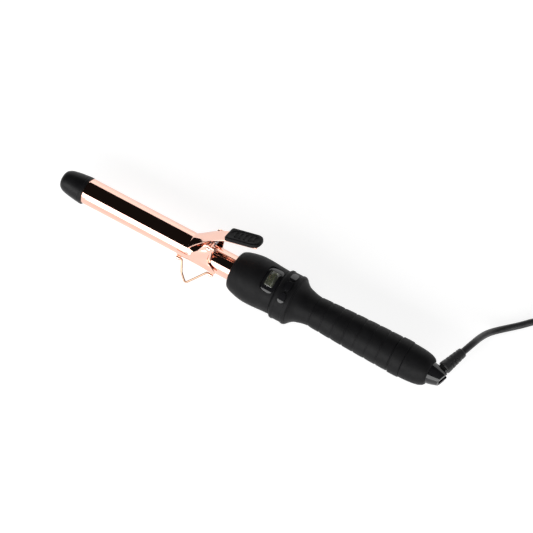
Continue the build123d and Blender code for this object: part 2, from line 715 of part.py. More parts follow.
def tie_section(margin, foot):
    """Outline of the strap round the coil, with one turn lying on top at the outside."""
    half_width = COIL_TURNS_WIDE * CORD_R + margin
    low_top = 2 * CORD_R * COIL_LAYERS + margin
    high_top = low_top + 2 * CORD_R
    outline = [(-half_width, foot), (half_width, foot), (half_width, high_top),
               (half_width - 1.8 * CORD_R, high_top), (-half_width, low_top)]
    return Plane.XZ * make_face(Polyline(*outline, close=True))


def coil_tie():
    """Strap round the coil's section."""
    outer = extrude(tie_section(1.0, 0.0), amount=TIE_WIDTH / 2, both=True)
    outer = fillet(outer.edges().filter_by(Axis.Y), 1.4)
    inner = extrude(tie_section(0.0, 0.8), amount=TIE_WIDTH, both=True)
    strap = Pos(COIL_TURN_R, 0, 0) * (outer - inner)
    return Pos(COIL_CENTRE[0], COIL_CENTRE[1], FLOOR) * (Rot(Z=COIL_TIE_ANGLE) * strap)


def plug_place():
    """Frame of the plug: origin where the lead enters it, X towards the blades."""
    before, last = tail_route()[-2:]
    heading = degrees(atan2(last[1] - before[1], last[0] - before[0]))
    return Pos(*last) * Rot(Z=heading)


def plug_body():
    """Flat moulded plug with a short sleeve for the lead."""
    sleeve = turned((0, 0), (0, 4.6), (12.0, 5.8), (12.0, 0))
    body = Pos(12.0 + PLUG_LENGTH / 2, 0, 0) * Box(PLUG_LENGTH, PLUG_WIDTH, PLUG_HEIGHT)
    body = fillet(body.edges().filter_by(Axis.X), 4.0)
    body = fillet(body.faces().sort_by(Axis.X)[0].edges(), 3.0)
    return plug_place() * (sleeve + body)


def plug_blades():
    """Two flat blades, set in the plug's face."""
    blades = []
    face = 12.0 + PLUG_LENGTH
    for side in (-1, 1):
        y = side * BLADE_SPACING / 2
        blade = block(face, face + 16.0, y - 0.75, y + 0.75, -3.2, 3.2)
        blades.append(blade)
    return plug_place() * Compound(blades)


# ---- assembly ------------------------------------------------------------------------------
def barrel_group():
    parts = {
        "barrel_tube": barrel_tube(),
        "cool_tip": cool_tip(),
        "tip_insulator": tip_insulator(),
        "heater_block_upper": rolled(heater_block(1)),
        "heater_block_lower": rolled(heater_block(-1)),
        "ceramic_heater": rolled(ceramic_heater()),
        "thermistor": rolled(thermistor()),
        "barrel_hub": barrel_hub(),
        "barrel_gear": barrel_gear(),
        "slip_rings": slip_rings(),
        "pivot_bracket": pivot_bracket(),
        "hinge_pin": hinge_pin(),
        "clamp_spring": clamp_spring(),
    }
    return parts


def clamp_group():
    return {"clamp_spoon": clamp_spoon(), "thumb_pad": thumb_pad(), "pad_rivets": pad_rivets()}


def handle_group():
    return {
        "front_housing": front_housing(),
        "lcd_window": lcd_window(),
        "lcd_module": lcd_module(),
        "control_pcb": control_pcb(),
        "control_collar": control_collar(),
        "button_switches": button_switches(),
        "handle_core": handle_core(),
        "core_screws": core_screws(),
        "grip_sleeve": grip_sleeve(),
        "rear_cap": rear_cap(),
        "front_bearing": front_bearing(),
        "gear_motor": gear_motor(),
        "motor_bracket": motor_bracket(),
        "brush_holder": brush_holder(),
        "power_board": power_board(),
        "power_leads": power_leads(),
        "swivel_contacts": swivel_contacts(),
    }


def small_groups():
    parts = {name: button(angle) for name, angle in BUTTON_ANGLES.items()}
    parts["motor_pinion"] = motor_pinion()
    parts["motor_shaft"] = motor_shaft()
    parts["stand_wire"] = stand_wire()
    parts["swivel_cone"] = swivel_cone()
    parts["swivel_clip"] = swivel_clip()
    parts["swivel_pin"] = swivel_pin()
    return parts


def cord_group():
    return {
        "strain_relief": strain_relief(),
        "cord_tube": cord_along(cord_route(), "cord_tube"),
        "cord_coil": cord_coil(),
        "coil_tie": coil_tie(),
        "cord_tail": cord_along(tail_route(), "cord_tail"),
        "plug_body": plug_body(),
        "plug_blades": plug_blades(),
    }


def origin_shift(parts):
    """Vector that moves the middle of the iron's underside to the origin."""
    boxes = [shape.bounding_box() for shape in parts.values()]
    low = [min(getattr(box.min, axis) for box in boxes) for axis in "XYZ"]
    high = [max(getattr(box.max, axis) for box in boxes) for axis in "XYZ"]
    return -(low[0] + high[0]) / 2, -(low[1] + high[1]) / 2, -low[2]


IRON = {**barrel_group(), **clamp_group(), **handle_group(), **small_groups()}
LEAD = cord_group()
SHIFT = origin_shift(IRON)


def main():
    os.makedirs("parts", exist_ok=True)
    print("origin shift", [round(value, 3) for value in SHIFT])
    for name, shape in {**IRON, **LEAD}.items():
        export_step(Pos(*SHIFT) * shape, f"parts/{name}.step")


if __name__ == "__main__":
    main()
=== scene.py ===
"""Automatic hair curler: finishes, detailed pieces, lead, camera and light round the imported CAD.

Shapes are drawn in millimetres in the tool's own frame: X runs from the end of the cool tip
to the tail, and the tool axis is at Y = Z = 0. mesh_piece() moves them to the row's frame.
"""

import json
from math import atan2, cos, pi, radians, sin, sqrt, tan

import bmesh
import bpy
from mathutils import Matrix, Vector


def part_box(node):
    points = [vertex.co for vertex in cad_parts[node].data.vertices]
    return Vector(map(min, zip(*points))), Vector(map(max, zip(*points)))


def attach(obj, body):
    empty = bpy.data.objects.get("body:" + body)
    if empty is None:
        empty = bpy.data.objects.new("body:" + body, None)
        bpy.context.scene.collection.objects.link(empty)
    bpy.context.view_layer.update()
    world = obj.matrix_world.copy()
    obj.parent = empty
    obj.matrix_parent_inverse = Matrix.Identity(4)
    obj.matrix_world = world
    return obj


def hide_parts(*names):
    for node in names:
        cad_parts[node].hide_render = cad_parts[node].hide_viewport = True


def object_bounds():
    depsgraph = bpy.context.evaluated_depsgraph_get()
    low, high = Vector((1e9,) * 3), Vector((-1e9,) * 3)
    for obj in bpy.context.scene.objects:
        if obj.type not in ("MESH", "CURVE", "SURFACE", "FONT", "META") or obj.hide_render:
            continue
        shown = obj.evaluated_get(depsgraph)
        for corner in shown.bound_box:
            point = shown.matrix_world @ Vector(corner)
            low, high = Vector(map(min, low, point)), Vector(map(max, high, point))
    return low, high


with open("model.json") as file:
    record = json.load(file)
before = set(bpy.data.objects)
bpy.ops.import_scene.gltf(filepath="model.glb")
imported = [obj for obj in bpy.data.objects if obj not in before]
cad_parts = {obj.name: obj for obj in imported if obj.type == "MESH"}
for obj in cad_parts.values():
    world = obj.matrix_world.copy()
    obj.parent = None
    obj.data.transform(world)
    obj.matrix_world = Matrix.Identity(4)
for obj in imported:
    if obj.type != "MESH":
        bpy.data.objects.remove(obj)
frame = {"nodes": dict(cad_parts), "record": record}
CAD_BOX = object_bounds()

# ---- where the tool lies -------------------------------------------------------------------
MM = 0.001
TUBE_LOW, TUBE_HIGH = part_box("barrel_tube")
AXIS = (TUBE_LOW + TUBE_HIGH) / 2
ORIGIN = Vector((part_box("cool_tip")[0].x, AXIS.y, AXIS.z))
BARREL_ROLL = radians(-25)
ROLLED = Matrix.Rotation(BARREL_ROLL, 4, "X")
UPRIGHT = Matrix.Identity(4)

# ---- camera, millimetres and degrees -------------------------------------------------------
VIEW_AZIMUTH = 30.4
VIEW_ELEVATION = 64.0
VIEW_TARGET = Vector((219.0, 17.9, -0.4))
VIEW_DISTANCE = 2300.0
VIEW_LENS = 162.0

# ---- barrel, clamp and stand ---------------------------------------------------------------
BARREL_R = 12.7
BARREL_BORE = 11.9
BARREL_FRONT = 20.0
BARREL_REAR = 207.0
CAP_LENGTH = 27.5
CAP_RIM_R = 14.2
SPOON_R = 14.0
SHEET = 1.0
SPOON_FRONT = 29.0
SADDLE_X = 146.0
FLARE_END = 151.0
SADDLE_REAR = 162.0
SADDLE_R = 15.3
SPOON_HALF_ANGLE = radians(87)
JAW_CORNER = 8.0             # radius of the clamp's front corners
JAW_SPLIT = 60.0             # the front rows of the clamp's mesh end here
JAW_STRAIGHT = 0.25          # share of the rows that lie in front of it
LEVER_ROOT_HALF = 13.0
LEVER_BEND_HALF = 8.0
LEVER_FLAT_RUN = 26.0        # the strip turns from round to flat over this length
LEVER_BEND_RUN = 4.0         # the bend is eased this far each way
LEVER_BEND_DROP = 0.45
LEVER_SHEET = 1.15           # upright thickness of the rising strip
PIN_HOLE_R = 1.6
HINGE_X = 168.0
HINGE_Z = 20.0
LEVER_BEND_X = 178.0
LEVER_RISE = radians(31)
PAD_RISE = radians(15)
PAD_LENGTH = 37.0
PAD_WIDTH = 18.5
PAD_START = 1.0
PAD_MIDDLE = (PAD_START + PAD_LENGTH) / 2
PAD_TOP = 4.5
PAD_RECESS = 4.05            # floor of the oval recess
PAD_RIBS = 5
RIB_PITCH = 5.0
RIB_REACH = 4.7              # half of a rib's length
RIB_BOW = 1.5
RIB_WIDTH = 1.9
RIB_CREST = 0.9
LEVER_END_X = LEVER_BEND_X + (PAD_LENGTH - 2.0) * cos(PAD_RISE)
HINGE = ROLLED @ Matrix.Translation((HINGE_X, 0, HINGE_Z)) @ Matrix.Rotation(radians(90), 4, "Z")
PAD_FOOT = (LEVER_BEND_X, 0, 13.2 + (LEVER_BEND_X - SADDLE_X) * tan(LEVER_RISE) + SHEET / cos(LEVER_RISE))
PAD = ROLLED @ Matrix.Translation(PAD_FOOT) @ Matrix.Rotation(-PAD_RISE, 4, "Y")

# ---- handle --------------------------------------------------------------------------------
HOUSING_FRONT = 194.5
SEAM_X = 244.0
COLLAR_REAR = 262.0
COLLAR_R = 25.2
GROOVE_R = 24.7
SHELL_INNER_R = 21.0
CORE_R = 13.0
WINDOW_X = 235.6
WINDOW_LENGTH = 15.6
WINDOW_WIDTH = 28.0
WINDOW_CORNER = 6.5
VIEW_LENGTH = 9.6            # clear part of the display window
VIEW_WIDTH = 17.0
VIEW_CORNER = 1.6
LENS_R = 22.9
BUTTON_X = 253.4
BUTTON_LENGTH = 10.8
BUTTON_WIDTH = 6.8
BUTTON_TOP_R = 25.5
BUTTON_UNDER_R = 23.4
BUTTON_FOOT_R = 20.6
# each button's CAD node, its body and its angle round the tool axis
BUTTONS = {"rotate_left_button": ("left_key", -30), "power_button": ("power_key", 0),
           "rotate_right_button": ("right_key", 30)}
BAND_START = 283.0
BAND_PITCH = 12.4
BAND_COUNT = 8
GRIP_REAR = BAND_START + BAND_COUNT * BAND_PITCH
TAIL_X = 407.6
SOCKET_X = 394.6
SOCKET_R = 11.5
SWIVEL_FRONT = 383.7
SWIVEL_END = 423.1
SWIVEL_PIN = (413.3, -0.2, 0.0)
BOOT_TURN = radians(72.5)
BOOT_START = 11.0
BOOT_LENGTH = 35.7
BOOT_START_R = 6.5
BOOT_END_R = 4.9
BOOT_RIBS = 4
BOOT_RIB_X = 18.2
BOOT_RIB_PITCH = 4.1
BOOT_CORE_R = 3.7
BOOT_EYE_R = 1.26
BOOT = Matrix.Translation(SWIVEL_PIN) @ Matrix.Rotation(BOOT_TURN, 4, "Z")
PLUG_LENGTH = 25.0
PLUG_WIDTH = 26.0
PLUG_HEIGHT = 15.0
BLADE_SPACING = 12.7
BLADE_LENGTH = 16.0
BLADE_HALF_WIDTH = 3.2
BLADE_HALF_THICK = 0.75
BLADE_HOLE_X = 11.7
BLADE_HOLE_R = 1.6
RIDGE_PITCH = 3.4            # grip ridges on the plug's sides
RIDGE_WIDTH = 1.4

# ---- lead, metres from the tool's origin, as in the CAD -------------------------------------
CORD_R = 0.0034
CORD_FLOOR = -0.0218
BOOT_TIP = (BOOT @ Vector((BOOT_LENGTH, 0, 0))) * MM
BOOT_AHEAD = (BOOT @ Vector((BOOT_LENGTH + 13.0, 0, 0))) * MM
CORD_ROUTE = [tuple(BOOT_TIP), tuple(BOOT_AHEAD), (0.430, 0.059, -0.0075), (0.4334, 0.0715, -0.0165),
              (0.4416, 0.083, CORD_FLOOR), (0.456, 0.0965, CORD_FLOOR), (0.467, 0.109, CORD_FLOOR),
              (0.4928, 0.1178, CORD_FLOOR)]
TAIL_ROUTE = [(0.5363, 0.1983, -0.0072), (0.5214, 0.2108, -0.0026), (0.502, 0.2125, 0.0028),
              (0.4851, 0.2028, 0.0028)]
COIL_CENTRE = (0.4962, 0.1671)
COIL_TIE_ANGLE = radians(320)
COIL_FOOT = Vector((*COIL_CENTRE, CORD_FLOOR - CORD_R)) / MM
COIL = Matrix.Translation(COIL_FOOT) @ Matrix.Rotation(COIL_TIE_ANGLE, 4, "Z")
PLUG_HEADING = atan2(TAIL_ROUTE[-1][1] - TAIL_ROUTE[-2][1], TAIL_ROUTE[-1][0] - TAIL_ROUTE[-2][0])
PLUG = Matrix.Translation(Vector(TAIL_ROUTE[-1]) / MM) @ Matrix.Rotation(PLUG_HEADING, 4, "Z")
COIL_OUTER = 0.0468
COIL_ENTRY = -75.0
COIL_TRAVEL = 6.25 * 360
COIL_POINTS_PER_TURN = 24
COIL_STEP_ANGLE = 165.0


# ---- materials -----------------------------------------------------------------------------
class Finish:
    """A material whose shader inputs are set by value or driven by procedural textures."""

    def __init__(self, name, **values):
        self.material = bpy.data.materials.new(name)
        self.material.use_nodes = True
        self.nodes = self.material.node_tree.nodes
        self.links = self.material.node_tree.links
        self.shader = self.nodes["Principled BSDF"]
        self.place = self.nodes.new("ShaderNodeTexCoord").outputs["Object"]
        for key, value in values.items():
            self.shader.inputs[key.replace("_", " ")].default_value = value

    def noise(self, scale, detail=3.0, stretch=(1, 1, 1)):
        """Noise field whose features are about 1 / scale metres."""
        mapping = self.nodes.new("ShaderNodeMapping")
        mapping.inputs["Scale"].default_value = stretch
        texture = self.nodes.new("ShaderNodeTexNoise")
        texture.inputs["Scale"].default_value = scale
        texture.inputs["Detail"].default_value = detail
        self.links.new(self.place, mapping.inputs["Vector"])
        self.links.new(mapping.outputs["Vector"], texture.inputs["Vector"])
        return texture.outputs["Fac"]

    def vary(self, socket, field, low, high):
        """Drive a number socket from a field, between low and high."""
        spread = self.nodes.new("ShaderNodeMapRange")
        spread.inputs["From Min"].default_value = 0.3
        spread.inputs["From Max"].default_value = 0.7
        spread.inputs["To Min"].default_value = low
        spread.inputs["To Max"].default_value = high
        self.links.new(field, spread.inputs["Value"])
        self.links.new(spread.outputs["Result"], self.shader.inputs[socket])

    def tint(self, field, first, second):
        """Drive the base colour from a field, between two colours."""
        ramp = self.nodes.new("ShaderNodeValToRGB")
        ramp.color_ramp.elements[0].position = 0.35
        ramp.color_ramp.elements[0].color = (*first, 1)
        ramp.color_ramp.elements[1].position = 0.65
        ramp.color_ramp.elements[1].color = (*second, 1)
        self.links.new(field, ramp.inputs["Fac"])
        self.links.new(ramp.outputs["Color"], self.shader.inputs["Base Color"])

    def bump(self, field, height):
        """Raise the surface by a field, height in millimetres."""
        node = self.nodes.new("ShaderNodeBump")
        node.inputs["Strength"].default_value = 1.0
        node.inputs["Distance"].default_value = height * MM
        self.links.new(field, node.inputs["Height"])
        self.links.new(node.outputs["Normal"], self.shader.inputs["Normal"])


def rose_metal(name):
    """Rose-gold plated sheet: a clear mirror with faint cleaning marks round the barrel."""
    finish = Finish(name, Metallic=1.0)
    finish.tint(finish.noise(28.0), (0.905, 0.565, 0.46), (0.93, 0.60, 0.495))
    finish.vary("Roughness", finish.noise(160.0, 5.0, (1.0, 0.25, 0.25)), 0.035, 0.085)
    finish.bump(finish.noise(900.0, 2.0, (6.0, 0.4, 0.4)), 0.0006)
    return finish.material


def moulded(name, dark, light, rough, grain, height, **values):
    """Moulded plastic or rubber: two close tones, uneven gloss and a fine grain."""
    finish = Finish(name, **values)
    finish.tint(finish.noise(70.0, 4.0), dark, light)
    finish.vary("Roughness", finish.noise(240.0, 4.0), *rough)
    finish.bump(finish.noise(grain, 4.0), height)
    return finish.material


def brushed(name, dark, light, rough, stretch):
    """Drawn, turned or brushed metal, with its marks along one direction."""
    finish = Finish(name, Metallic=1.0)
    marks = finish.noise(700.0, 4.0, stretch)
    finish.tint(marks, dark, light)
    finish.vary("Roughness", marks, *rough)
    finish.bump(marks, 0.002)
    return finish.material


def smoked_lens():
    """Smoked cover of the display."""
    finish = Finish("smoked_lens", Transmission_Weight=0.92, IOR=1.46, Base_Color=(0.42, 0.44, 0.36, 1))
    finish.vary("Roughness", finish.noise(300.0), 0.01, 0.035)
    return finish.material


def display_film():
    """Olive reflective film of a segment display, with faint banding along its length."""
    finish = Finish("display_film", Specular_IOR_Level=0.6)
    finish.tint(finish.noise(260.0, 3.0, (0.2, 3.0, 1.0)), (0.20, 0.215, 0.11), (0.30, 0.31, 0.185))
    finish.vary("Roughness", finish.noise(400.0), 0.22, 0.34)
    return finish.material


def matte_black(name, rough, grain, height, specular):
    """Near-black moulding that reflects little."""
    return moulded(name, (0.0055, 0.0055, 0.006), (0.0085, 0.0085, 0.009), rough, grain, height,
                   Specular_IOR_Level=specular)


def blacks():
    """The black plastics and rubbers."""
    gloss = ((0.006, 0.006, 0.007), (0.011, 0.011, 0.012))
    jacket = ((0.017, 0.017, 0.018), (0.024, 0.024, 0.025))
    plug = ((0.018, 0.018, 0.019), (0.026, 0.026, 0.027))
    strap = ((0.022, 0.022, 0.023), (0.045, 0.045, 0.047))
    return {
        "soft_black": matte_black("soft_touch", (0.44, 0.56), 5200, 0.01, 0.1),
        "tip_black": matte_black("tip_plastic", (0.34, 0.44), 4200, 0.01, 0.14),
        "grip_rubber": matte_black("grip_rubber", (0.42, 0.54), 4600, 0.012, 0.1),
        "gloss_black": moulded("gloss_black", *gloss, (0.05, 0.12), 900, 0.001),
        "cord_black": moulded("cord_jacket", *jacket, (0.36, 0.48), 3200, 0.01),
        "plug_black": moulded("plug_rubber", *plug, (0.4, 0.52), 3000, 0.014),
        "tie_black": moulded("tie_strap", *strap, (0.6, 0.8), 5200, 0.05),
    }


def inner_plastics():
    """Board, insulators and ceramic."""
    board = ((0.012, 0.075, 0.03), (0.02, 0.11, 0.045))
    nylon = ((0.62, 0.60, 0.53), (0.72, 0.70, 0.63))
    heat = ((0.08, 0.06, 0.045), (0.12, 0.09, 0.07))
    ceramic = ((0.72, 0.71, 0.67), (0.82, 0.81, 0.78))
    return {
        "board_green": moulded("board", *board, (0.35, 0.5), 1500, 0.01),
        "nylon": moulded("nylon", *nylon, (0.35, 0.5), 2500, 0.01),
        "heat_plastic": moulded("heat_plastic", *heat, (0.5, 0.7), 2500, 0.02),
        "ceramic": moulded("ceramic", *ceramic, (0.55, 0.75), 3000, 0.02),
    }


def metals():
    """Plated, drawn and turned metals."""
    across = (8.0, 0.3, 0.3)
    along = (0.3, 6.0, 6.0)
    aluminium = ((0.62, 0.63, 0.65), (0.78, 0.79, 0.81))
    steel = ((0.50, 0.50, 0.51), (0.66, 0.66, 0.67))
    spring = ((0.30, 0.30, 0.32), (0.45, 0.45, 0.47))
    return {
        "rose_gold_tube": rose_metal("rose_tube"),
        "rose_gold": rose_metal("rose_sheet"),
        "raw_aluminium": brushed("raw_aluminium", *aluminium, (0.3, 0.5), along),
        "steel": brushed("plated_steel", *steel, (0.18, 0.32), across),
        "spring_steel": brushed("spring_steel", *spring, (0.25, 0.4), (1, 1, 1)),
        "brass": brushed("brass", (0.72, 0.52, 0.23), (0.84, 0.66, 0.34), (0.16, 0.3), across),
        "copper": brushed("copper", (0.62, 0.33, 0.19), (0.76, 0.44, 0.28), (0.25, 0.4), across),
    }


def make_materials():
    """One material for each material slot of the record."""
    return {**metals(), **blacks(), **inner_plastics(), "lens": smoked_lens(), "lcd": display_film()}


MATERIALS = make_materials()


# ---- mesh helpers --------------------------------------------------------------------------
def mesh_piece(name, verts, faces, place=UPRIGHT, smooth_angle=38):
    """Object from millimetre points in the tool's frame, welded, closed and smooth shaded."""
    mesh = bpy.data.meshes.new(name)
    mesh.from_pydata([ORIGIN + (place @ Vector(v)) * MM for v in verts], [], faces)
    work = bmesh.new()
    work.from_mesh(mesh)
    bmesh.ops.remove_doubles(work, verts=work.verts, dist=0.002 * MM)
    bmesh.ops.dissolve_degenerate(work, edges=work.edges, dist=0.001 * MM)
    bmesh.ops.recalc_face_normals(work, faces=work.faces)
    work.to_mesh(mesh)
    work.free()
    mesh.shade_smooth()
    mesh.set_sharp_from_angle(angle=radians(smooth_angle))
    piece = bpy.data.objects.new(name, mesh)
    bpy.context.scene.collection.objects.link(piece)
    return piece


def fit(piece, body, slot, *nodes):
    """Give a piece its slot's material, parent it to its body's empty and hide the CAD nodes it stands for.
    """
    piece.data.materials.clear()
    piece.data.materials.append(MATERIALS[slot])
    if nodes:
        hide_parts(*nodes)
    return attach(piece, body)


def rounded(corners, parts=5):
    """Closed outline from (x, y, radius) corners, with each corner eased over its radius."""
    outline = []
    for index, (x, y, radius) in enumerate(corners):
        here = Vector((x, y))
        if radius == 0:
            outline.append(here)
            continue
        before = Vector(corners[index - 1][:2]) - here
        after = Vector(corners[(index + 1) % len(corners)][:2]) - here
        reach = min(radius / tan(before.angle(after) / 2), 0.49 * before.length, 0.49 * after.length)
        start = here + before.normalized() * reach
        end = here + after.normalized() * reach
        for part in range(parts + 1):
            t = part / parts
            outline.append(start * (1 - t) ** 2 + here * 2 * t * (1 - t) + end * t ** 2)
    return [(point.x, point.y) for point in outline]


def flowing(points, parts=6):
    """Smooth line through points, ends included."""
    line = []
    padded = [points[0], *points, points[-1]]
    for p0, p1, p2, p3 in zip(padded, padded[1:], padded[2:], padded[3:]):
        for part in range(parts):
            t = part / parts
            line.append(tuple(0.5 * (2 * b + (c - a) * t + (2 * a - 5 * b + 4 * c - d) * t ** 2
                                     + (3 * b - a - 3 * c + d) * t ** 3)
                              for a, b, c, d in zip(p0, p1, p2, p3)))
    return line + [points[-1]]


def lathe(name, outline, place=UPRIGHT, segments=144, smooth_angle=38):
    """Closed (x, radius) outline turned about the tool axis, or about X of another place."""
    verts = []
    for step in range(segments):
        angle = 2 * pi * step / segments
        verts += [(x, r * cos(angle), r * sin(angle)) for x, r in outline]
    count = len(outline)
    faces = []
    for step in range(segments):
        here, there = step * count, (step + 1) % segments * count
        for i in range(count):
            j = (i + 1) % count
            if outline[i][1] > 0 or outline[j][1] > 0:
                faces.append((here + i, here + j, there + j, there + i))
    return mesh_piece(name, verts, faces, place, smooth_angle)


def slab(name, top, bottom, along, across, place=UPRIGHT, smooth_angle=38):
    """Closed solid between two surfaces, each a function of two shares from 0 to 1."""
    verts = [surface(i / along, j / across)
             for surface in (top, bottom) for i in range(along + 1) for j in range(across + 1)]
    width = across + 1
    lower = (along + 1) * width
    faces = []
    for i in range(along):
        for j in range(across):
            a = i * width + j
            faces.append((a, a + 1, a + width + 1, a + width))
            faces.append((lower + a, lower + a + width, lower + a + width + 1, lower + a + 1))
    rim = [i * width for i in range(along + 1)]
    rim += [along * width + j for j in range(1, width)]
    rim += [i * width + across for i in reversed(range(along))]
    rim += [j for j in reversed(range(1, across))]
    for a, b in zip(rim, rim[1:] + rim[:1]):
        faces.append((a, b, lower + b, lower + a))
    return mesh_piece(name, verts, faces, place, smooth_angle)


def prism(name, outline, low, high, place=UPRIGHT):
    """Prism from an (x, y) outline between two heights."""
    count = len(outline)
    verts = [(x, y, z) for z in (low, high) for x, y in outline]
    faces = [tuple(range(count)), tuple(reversed(range(count, 2 * count)))]
    faces += [(i, (i + 1) % count, count + (i + 1) % count, count + i) for i in range(count)]
    return mesh_piece(name, verts, faces, place)


def settle(piece):
    """Apply a piece's modifiers to its mesh."""
    depsgraph = bpy.context.evaluated_depsgraph_get()
    mesh = bpy.data.meshes.new_from_object(piece.evaluated_get(depsgraph))
    piece.modifiers.clear()
    piece.data = mesh
    return piece


def cut(piece, *cutters, operation="DIFFERENCE"):
    """Cut or join solids into a piece."""
    for cutter in cutters:
        step = piece.modifiers.new("cut", "BOOLEAN")
        step.operation = operation
        step.solver = "EXACT"
        step.object = cutter
    settle(piece)
    for cutter in cutters:
        bpy.data.objects.remove(cutter)
    return piece


def soften(piece, width, angle=40, segments=3):
    """Round a piece's sharp edges."""
    step = piece.modifiers.new("soften", "BEVEL")
    step.width = width * MM
    step.segments = segments
    step.limit_method = "ANGLE"
    step.angle_limit = radians(angle)
    step.harden_normals = False
    settle(piece)
    piece.data.shade_smooth()
    piece.data.set_sharp_from_angle(angle=radians(38))
    return piece


# ---- lead ----------------------------------------------------------------------------------
def ramp(angle, start, length=70.0):
    """0 before start, 1 after start + length, and smooth between them."""
    t = min(1.0, max(0.0, (angle - start) / length))
    return t * t * (3 - 2 * t)


def coil_point(travelled):
    """Centre of the lead in the coil, after so many degrees from where it joins the coil.

    Three turns go inward on the table, three outward on top of them, and the last stretch
    lies on the outermost turn. All changes of track are on the coil's left half.
    """
    angle = COIL_ENTRY + travelled
    step = COIL_STEP_ANGLE
    inward = ramp(angle, step + 48) + ramp(angle, step + 48 + 360)
    up = ramp(angle, step + 24 + 720) + ramp(angle, step - 70 + 1800)
    outward = ramp(angle, step + 1080) + ramp(angle, step + 1440)
    radius = COIL_OUTER + 2 * CORD_R * (outward - inward)
    radius /= cos(pi / COIL_POINTS_PER_TURN)
    return (COIL_CENTRE[0] + radius * cos(radians(angle)), COIL_CENTRE[1] + radius * sin(radians(angle)),
            CORD_FLOOR + 2 * CORD_R * up)


def make_lead():
    """The whole lead as one smooth line: free stretch, coil and tail."""
    steps = round(COIL_TRAVEL / 360 * COIL_POINTS_PER_TURN)
    coil = [coil_point(COIL_TRAVEL * i / steps) for i in range(steps + 1)]
    points = [ORIGIN + Vector(p) for p in CORD_ROUTE + coil + TAIL_ROUTE]
    curve = bpy.data.curves.new("lead", "CURVE")
    curve.dimensions = "3D"
    curve.bevel_depth = CORD_R
    curve.bevel_resolution = 6
    curve.use_fill_caps = True
    curve.resolution_u = 8
    spline = curve.splines.new("NURBS")
    spline.points.add(len(points) - 1)
    for point, place in zip(spline.points, points):
        point.co = (*place, 1.0)
    spline.order_u = 3
    spline.use_endpoint_u = True
    lead = bpy.data.objects.new("lead", curve)
    bpy.context.scene.collection.objects.link(lead)
    return fit(lead, "lead", "cord_black", "cord_tube", "cord_coil", "cord_tail")


# ---- barrel, clamp and thumb pad -------------------------------------------------------------
def arc_point(x, radius, angle):
    """Point on a circle about the tool axis, with the angle from the lever's side."""
    return x, radius * sin(angle), radius * cos(angle)


def make_barrel():
    """Heated tube, cool tip and the rivet of the clamp's hinge."""
    tube = [(BARREL_FRONT, 12.4), (BARREL_FRONT + 0.3, BARREL_R), (BARREL_REAR - 0.4, BARREL_R),
            (BARREL_REAR, 12.3), (BARREL_REAR, BARREL_BORE), (BARREL_FRONT, BARREL_BORE)]
    fit(lathe("heated_tube", tube), "barrel", "rose_gold_tube", "barrel_tube")
    nose = flowing([(0.0, 5.6), (0.35, 7.0), (2.0, 9.2), (6.0, 11.3), (14.0, 12.9), (23.4, 14.0)])
    cap = [(1.1, 0), (1.0, 3.2), (0.35, 4.9), *nose, (23.9, 13.75), (24.3, 13.75), (24.8, CAP_RIM_R),
           (27.1, CAP_RIM_R), (CAP_LENGTH, 13.8), (CAP_LENGTH, BARREL_R), (BARREL_FRONT, BARREL_R),
           (BARREL_FRONT, 10.6), (8.0, 8.4), (8.0, 0)]
    fit(lathe("tip_cap", cap), "barrel", "tip_black", "cool_tip")
    rivet = [(-16.6, 0), (-16.5, 1.2), (-16.1, 2.3), (-15.6, 2.75), (-15.35, 2.75), (-15.35, 1.5),
             (15.35, 1.5), (15.35, 2.75), (15.6, 2.75), (16.1, 2.3), (16.5, 1.2), (16.6, 0)]
    fit(lathe("hinge_rivet", rivet, HINGE, 40), "barrel", "rose_gold", "hinge_pin")


def jaw_radius(x):
    """Inner radius of the clamp: closed round the barrel, then flared over the bracket."""
    share = min(1.0, max(0.0, (x - SADDLE_X) / (FLARE_END - SADDLE_X)))
    share = share * share * (3 - 2 * share)
    return SPOON_R - SHEET + (SADDLE_R - SPOON_R) * share


def jaw_half_angle(x):
    """Half of the clamp's wrap, eased round its two front corners."""
    near = max(0.0, 1 - (x - SPOON_FRONT) / JAW_CORNER)
    return SPOON_HALF_ANGLE - (1 - sqrt(1 - near ** 2)) * JAW_CORNER / SPOON_R


def jaw_surface(lift):
    """Face of the clamp's sheet, lifted from its inner one, with more rows near its rounded front."""
    def surface(u, v):
        if u > JAW_STRAIGHT:
            share = (u - JAW_STRAIGHT) / (1 - JAW_STRAIGHT)
            x = JAW_SPLIT + (SADDLE_REAR - JAW_SPLIT) * share
        else:
            x = SPOON_FRONT + (JAW_SPLIT - SPOON_FRONT) * (u / JAW_STRAIGHT) ** 2
        return arc_point(x, jaw_radius(x) + lift, (2 * v - 1) * jaw_half_angle(x))
    return surface


def lever_half_width(x):
    """Half of the strip's width: it narrows quickly to its bend, and then by one more millimetre."""
    if x < LEVER_BEND_X:
        share = (x - SADDLE_X) / (LEVER_BEND_X - SADDLE_X)
        return LEVER_ROOT_HALF - (LEVER_ROOT_HALF - LEVER_BEND_HALF) * share ** 0.8
    return LEVER_BEND_HALF - (x - LEVER_BEND_X) / (LEVER_END_X - LEVER_BEND_X)


def lever_surface(lift):
    """The strip that lifts off the clamp: round like the clamp at its root, flat at the pad."""
    def surface(u, v):
        x = SADDLE_X + (LEVER_END_X - SADDLE_X) * u
        rise = (min(x, LEVER_BEND_X) - SADDLE_X) * tan(LEVER_RISE)
        rise += max(0.0, x - LEVER_BEND_X) * tan(PAD_RISE)
        ease = max(0.0, 1 - abs(x - LEVER_BEND_X) / LEVER_BEND_RUN)
        rise -= LEVER_BEND_DROP * ease ** 2
        y = (2 * v - 1) * lever_half_width(x)
        flat = min(1.0, (x - SADDLE_X) / LEVER_FLAT_RUN)
        hollow = (SPOON_R - sqrt(SPOON_R ** 2 - y ** 2)) * (1 - flat) ** 1.5
        return x, y, SPOON_R - 0.8 + rise - hollow + lift
    return surface


